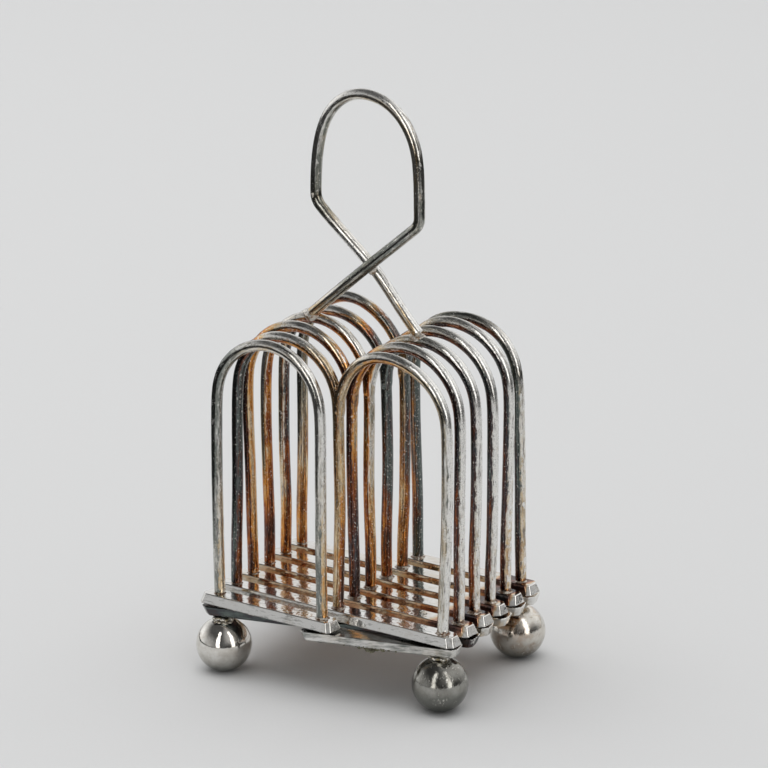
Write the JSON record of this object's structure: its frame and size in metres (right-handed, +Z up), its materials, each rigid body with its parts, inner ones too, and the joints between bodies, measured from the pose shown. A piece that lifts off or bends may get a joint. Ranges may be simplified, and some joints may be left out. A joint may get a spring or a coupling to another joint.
{
  "type": "toast rack",
  "caption": "Expanding toast rack: crossed flat bars pivot like lazy tongs under two rows of wire arches, with a wire loop handle and ball feet.",
  "frame": {"origin": "on the surface the rack stands on, under the middle pivot", "axes": "+Z up, X across the rack, Y the way it opens with the front at -Y"},
  "size_m": [0.0852, 0.0652, 0.169],
  "materials": {
    "bar_plate": "worn polished silver plate, tarnished brown on the bevels",
    "wire_plate": "polished silver plate with grey, brown and blue-green tarnish",
    "handle_plate": "polished silver plate, lightly tarnished",
    "ball_plate": "polished silver plate with fine scratches"
  },
  "bodies": {
    "middle_frame": {"upper_bar_3": "bar_plate", "arch_left_3": "wire_plate", "arch_right_3": "wire_plate", "handle_wire": "handle_plate"},
    "frame_2": {"upper_bar_2": "bar_plate", "arch_left_2": "wire_plate", "arch_right_2": "wire_plate"},
    "frame_1": {"upper_bar_1": "bar_plate", "arch_left_1": "wire_plate", "arch_right_1": "wire_plate"},
    "front_half_frame": {"upper_half_bar_front": "bar_plate", "arch_left_front": "wire_plate"},
    "frame_4": {"upper_bar_4": "bar_plate", "arch_left_4": "wire_plate", "arch_right_4": "wire_plate"},
    "frame_5": {"upper_bar_5": "bar_plate", "arch_left_5": "wire_plate", "arch_right_5": "wire_plate"},
    "back_half_frame": {"upper_half_bar_back": "bar_plate", "arch_right_back": "wire_plate"},
    "lower_3": {"lower_bar_3": "bar_plate"},
    "lower_2": {"lower_bar_2": "bar_plate"},
    "lower_1": {"lower_bar_1": "bar_plate", "ball_foot_front_left": "ball_plate"},
    "lower_front_half": {"lower_half_bar_front": "bar_plate", "ball_foot_front_right": "ball_plate"},
    "lower_4": {"lower_bar_4": "bar_plate"},
    "lower_5": {"lower_bar_5": "bar_plate", "ball_foot_back_right": "ball_plate"},
    "lower_back_half": {"lower_half_bar_back": "bar_plate", "ball_foot_back_left": "ball_plate"}
  },
  "joints": [
    {"name": "fold", "type": "hinge", "parent": "middle_frame", "child": "lower_3", "pos_m": [0, 0, 0.01964], "axis": [0, 0, 1], "range_deg": [-3.2, 44]},
    {"name": "frame_4_turn", "type": "hinge", "parent": "lower_3", "child": "frame_4", "pos_m": [0.03568, 0.00476, 0.01964], "axis": [0, 0, 1], "range_deg": [-44, 3.2]},
    {"name": "lower_4_turn", "type": "hinge", "parent": "frame_4", "child": "lower_4", "pos_m": [0, 0.00952, 0.01964], "axis": [0, 0, 1], "range_deg": [-3.2, 44]},
    {"name": "frame_5_turn", "type": "hinge", "parent": "lower_4", "child": "frame_5", "pos_m": [0.03568, 0.01428, 0.01964], "axis": [0, 0, 1], "range_deg": [-44, 3.2]},
    {"name": "lower_5_turn", "type": "hinge", "parent": "frame_5", "child": "lower_5", "pos_m": [0, 0.01904, 0.01964], "axis": [0, 0, 1], "range_deg": [-3.2, 44]},
    {"name": "back_half_frame_turn", "type": "hinge", "parent": "lower_5", "child": "back_half_frame", "pos_m": [0.03568, 0.02381, 0.01964], "axis": [0, 0, 1], "range_deg": [-44, 3.2]},
    {"name": "lower_back_half_turn", "type": "hinge", "parent": "back_half_frame", "child": "lower_back_half", "pos_m": [0, 0.02857, 0.01964], "axis": [0, 0, 1], "range_deg": [-3.2, 44]},
    {"name": "frame_2_turn", "type": "hinge", "parent": "lower_3", "child": "frame_2", "pos_m": [-0.03568, -0.00476, 0.01964], "axis": [0, 0, 1], "range_deg": [-44, 3.2]},
    {"name": "lower_2_turn", "type": "hinge", "parent": "frame_2", "child": "lower_2", "pos_m": [0, -0.00952, 0.01964], "axis": [0, 0, 1], "range_deg": [-3.2, 44]},
    {"name": "frame_1_turn", "type": "hinge", "parent": "lower_2", "child": "frame_1", "pos_m": [-0.03568, -0.01428, 0.01964], "axis": [0, 0, 1], "range_deg": [-44, 3.2]},
    {"name": "lower_1_turn", "type": "hinge", "parent": "frame_1", "child": "lower_1", "pos_m": [0, -0.01904, 0.01964], "axis": [0, 0, 1], "range_deg": [-3.2, 44]},
    {"name": "front_half_frame_turn", "type": "hinge", "parent": "lower_1", "child": "front_half_frame", "pos_m": [-0.03568, -0.02381, 0.01964], "axis": [0, 0, 1], "range_deg": [-44, 3.2]},
    {"name": "lower_front_half_turn", "type": "hinge", "parent": "front_half_frame", "child": "lower_front_half", "pos_m": [0, -0.02857, 0.01964], "axis": [0, 0, 1], "range_deg": [-3.2, 44]}
  ],
  "couplings": [
    {"joint": "frame_4_turn", "follows": "fold", "ratio": -1},
    {"joint": "lower_4_turn", "follows": "fold", "ratio": 1},
    {"joint": "frame_5_turn", "follows": "fold", "ratio": -1},
    {"joint": "lower_5_turn", "follows": "fold", "ratio": 1},
    {"joint": "back_half_frame_turn", "follows": "fold", "ratio": -1},
    {"joint": "lower_back_half_turn", "follows": "fold", "ratio": 1},
    {"joint": "frame_2_turn", "follows": "fold", "ratio": -1},
    {"joint": "lower_2_turn", "follows": "fold", "ratio": 1},
    {"joint": "frame_1_turn", "follows": "fold", "ratio": -1},
    {"joint": "lower_1_turn", "follows": "fold", "ratio": 1},
    {"joint": "front_half_frame_turn", "follows": "fold", "ratio": -1},
    {"joint": "lower_front_half_turn", "follows": "fold", "ratio": 1}
  ]
}
